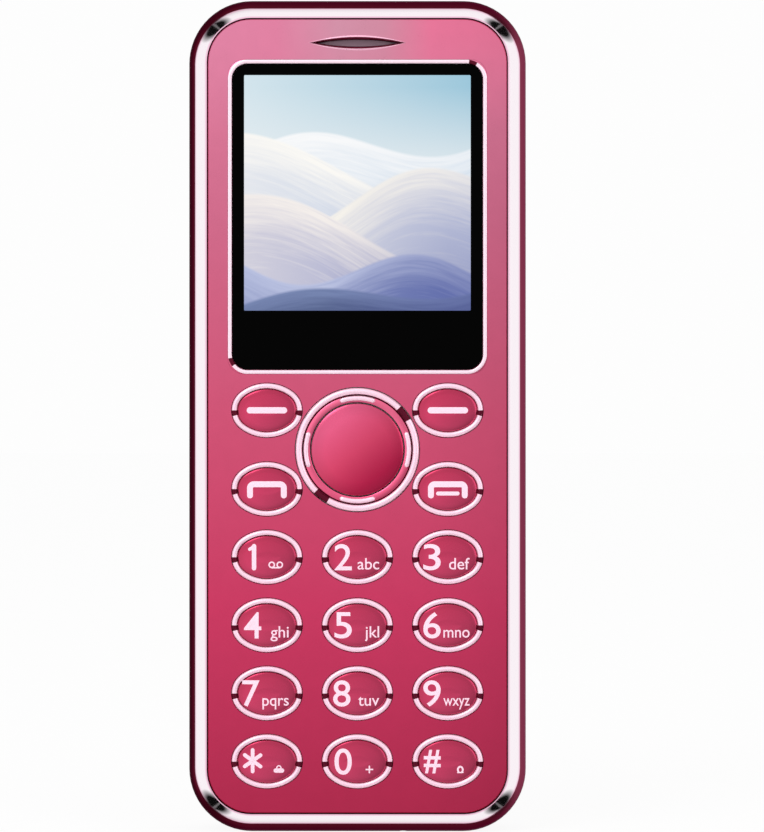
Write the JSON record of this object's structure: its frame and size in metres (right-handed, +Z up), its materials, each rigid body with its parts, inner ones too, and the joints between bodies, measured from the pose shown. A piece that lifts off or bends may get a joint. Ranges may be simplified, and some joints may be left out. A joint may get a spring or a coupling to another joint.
{
  "type": "feature phone",
  "caption": "Candy-bar feature phone with a small colour display, oval keys, a four-way ring, a bevelled frame, removable back cover and battery.",
  "frame": {"origin": "under the middle of the bottom end, halfway through the depth with the keys", "axes": "+Z up the phone towards the earpiece, -Y out of the display and keys, +X to the right as the keys are read"},
  "size_m": [0.0382, 0.0109, 0.094],
  "materials": {
    "pink_metal": "anodised metallic pink, fine grain, glossy",
    "key_metal": "metallic pink dome in a plated rim",
    "bright_bevel": "chrome-plated plastic, polished",
    "black_glass": "glossy, printed black behind",
    "display_glass": "lit picture area",
    "dark_plastic": "fine grain",
    "back_plastic": "smooth deep crimson",
    "dark_mesh": "fine perforated sheet",
    "steel": "stamped, satin",
    "weight_metal": "sintered, dull",
    "contact_brass": "plated",
    "silicone": "translucent white",
    "amber_film": "polyimide film",
    "board_green": "solder mask",
    "battery_film": "printed wrap"
  },
  "bodies": {
    "root": {"antenna": "contact_brass", "battery_contacts": "dark_plastic", "camera_module": "dark_plastic", "display_lens": "black_glass", "dome_sheet": "steel", "earpiece_grille": "dark_mesh", "earpiece_speaker": "dark_plastic", "frame": "bright_bevel", "front_cover": "pink_metal", "housing_screws": "steel", "keypad_mat": "silicone", "lcd_flex": "amber_film", "lcd_frame": "dark_plastic", "lcd_panel": "display_glass", "lens_trim": "bright_bevel", "loudspeaker": "dark_plastic", "main_board": "board_green", "microphone": "steel", "rear_housing": "dark_plastic", "shield_can": "steel", "sim_sockets": "steel", "usb_port": "steel", "vibration_motor": "steel"},
    "key_1_body": {"key_1": "key_metal"},
    "key_2_body": {"key_2": "key_metal"},
    "key_3_body": {"key_3": "key_metal"},
    "key_4_body": {"key_4": "key_metal"},
    "key_5_body": {"key_5": "key_metal"},
    "key_6_body": {"key_6": "key_metal"},
    "key_7_body": {"key_7": "key_metal"},
    "key_8_body": {"key_8": "key_metal"},
    "key_9_body": {"key_9": "key_metal"},
    "key_0_body": {"key_0": "key_metal"},
    "key_star_body": {"key_star": "key_metal"},
    "key_hash_body": {"key_hash": "key_metal"},
    "soft_key_left_body": {"soft_key_left": "key_metal"},
    "soft_key_right_body": {"soft_key_right": "key_metal"},
    "call_key_body": {"call_key": "key_metal"},
    "end_key_body": {"end_key": "key_metal"},
    "nav_key_body": {"nav_key": "pink_metal"},
    "nav_actuator_body": {"nav_actuator": "steel"},
    "nav_ring_body": {"nav_ring": "bright_bevel"},
    "back_cover_body": {"back_cover": "back_plastic", "camera_window": "black_glass"},
    "battery_body": {"battery": "battery_film"},
    "motor_rotor": {"motor_shaft": "steel", "motor_weight": "weight_metal"}
  },
  "joints": [
    {"name": "key_1_press", "type": "slide", "parent": "root", "child": "key_1_body", "axis": [0, 1, 0], "range_m": [0, 0.0003], "stiffness_N_per_m": 2000},
    {"name": "key_2_press", "type": "slide", "parent": "root", "child": "key_2_body", "axis": [0, 1, 0], "range_m": [0, 0.0003], "stiffness_N_per_m": 2000},
    {"name": "key_3_press", "type": "slide", "parent": "root", "child": "key_3_body", "axis": [0, 1, 0], "range_m": [0, 0.0003], "stiffness_N_per_m": 2000},
    {"name": "key_4_press", "type": "slide", "parent": "root", "child": "key_4_body", "axis": [0, 1, 0], "range_m": [0, 0.0003], "stiffness_N_per_m": 2000},
    {"name": "key_5_press", "type": "slide", "parent": "root", "child": "key_5_body", "axis": [0, 1, 0], "range_m": [0, 0.0003], "stiffness_N_per_m": 2000},
    {"name": "key_6_press", "type": "slide", "parent": "root", "child": "key_6_body", "axis": [0, 1, 0], "range_m": [0, 0.0003], "stiffness_N_per_m": 2000},
    {"name": "key_7_press", "type": "slide", "parent": "root", "child": "key_7_body", "axis": [0, 1, 0], "range_m": [0, 0.0003], "stiffness_N_per_m": 2000},
    {"name": "key_8_press", "type": "slide", "parent": "root", "child": "key_8_body", "axis": [0, 1, 0], "range_m": [0, 0.0003], "stiffness_N_per_m": 2000},
    {"name": "key_9_press", "type": "slide", "parent": "root", "child": "key_9_body", "axis": [0, 1, 0], "range_m": [0, 0.0003], "stiffness_N_per_m": 2000},
    {"name": "key_0_press", "type": "slide", "parent": "root", "child": "key_0_body", "axis": [0, 1, 0], "range_m": [0, 0.0003], "stiffness_N_per_m": 2000},
    {"name": "key_star_press", "type": "slide", "parent": "root", "child": "key_star_body", "axis": [0, 1, 0], "range_m": [0, 0.0003], "stiffness_N_per_m": 2000},
    {"name": "key_hash_press", "type": "slide", "parent": "root", "child": "key_hash_body", "axis": [0, 1, 0], "range_m": [0, 0.0003], "stiffness_N_per_m": 2000},
    {"name": "soft_key_left_press", "type": "slide", "parent": "root", "child": "soft_key_left_body", "axis": [0, 1, 0], "range_m": [0, 0.0003], "stiffness_N_per_m": 2000},
    {"name": "soft_key_right_press", "type": "slide", "parent": "root", "child": "soft_key_right_body", "axis": [0, 1, 0], "range_m": [0, 0.0003], "stiffness_N_per_m": 2000},
    {"name": "call_key_press", "type": "slide", "parent": "root", "child": "call_key_body", "axis": [0, 1, 0], "range_m": [0, 0.0003], "stiffness_N_per_m": 2000},
    {"name": "end_key_press", "type": "slide", "parent": "root", "child": "end_key_body", "axis": [0, 1, 0], "range_m": [0, 0.0003], "stiffness_N_per_m": 2000},
    {"name": "nav_key_press", "type": "slide", "parent": "root", "child": "nav_key_body", "axis": [0, 1, 0], "range_m": [0, 0.0003], "stiffness_N_per_m": 2000},
    {"name": "nav_tilt_up_down", "type": "hinge", "parent": "root", "child": "nav_actuator_body", "pos_m": [0, -0.00251, 0.04322], "axis": [1, 0, 0], "range_deg": [-2, 2], "stiffness_Nm_per_rad": 0.26},
    {"name": "nav_tilt_left_right", "type": "hinge", "parent": "nav_actuator_body", "child": "nav_ring_body", "pos_m": [0, -0.00303, 0.04322], "axis": [0, 0, 1], "range_deg": [-2, 2], "stiffness_Nm_per_rad": 0.26},
    {"name": "cover_lift", "type": "slide", "parent": "root", "child": "back_cover_body", "axis": [0, 1, 0], "range_m": [0, 0.024]},
    {"name": "battery_lift", "type": "slide", "parent": "root", "child": "battery_body", "axis": [0, 1, 0], "range_m": [0, 0.012]},
    {"name": "motor_spin", "type": "hinge", "parent": "root", "child": "motor_rotor", "pos_m": [0.004, 0.001, 0.05909], "axis": [1, 0, 0], "continuous": true}
  ],
  "couplings": [
    {"joint": "battery_lift", "follows": "cover_lift", "ratio": 0.5}
  ]
}
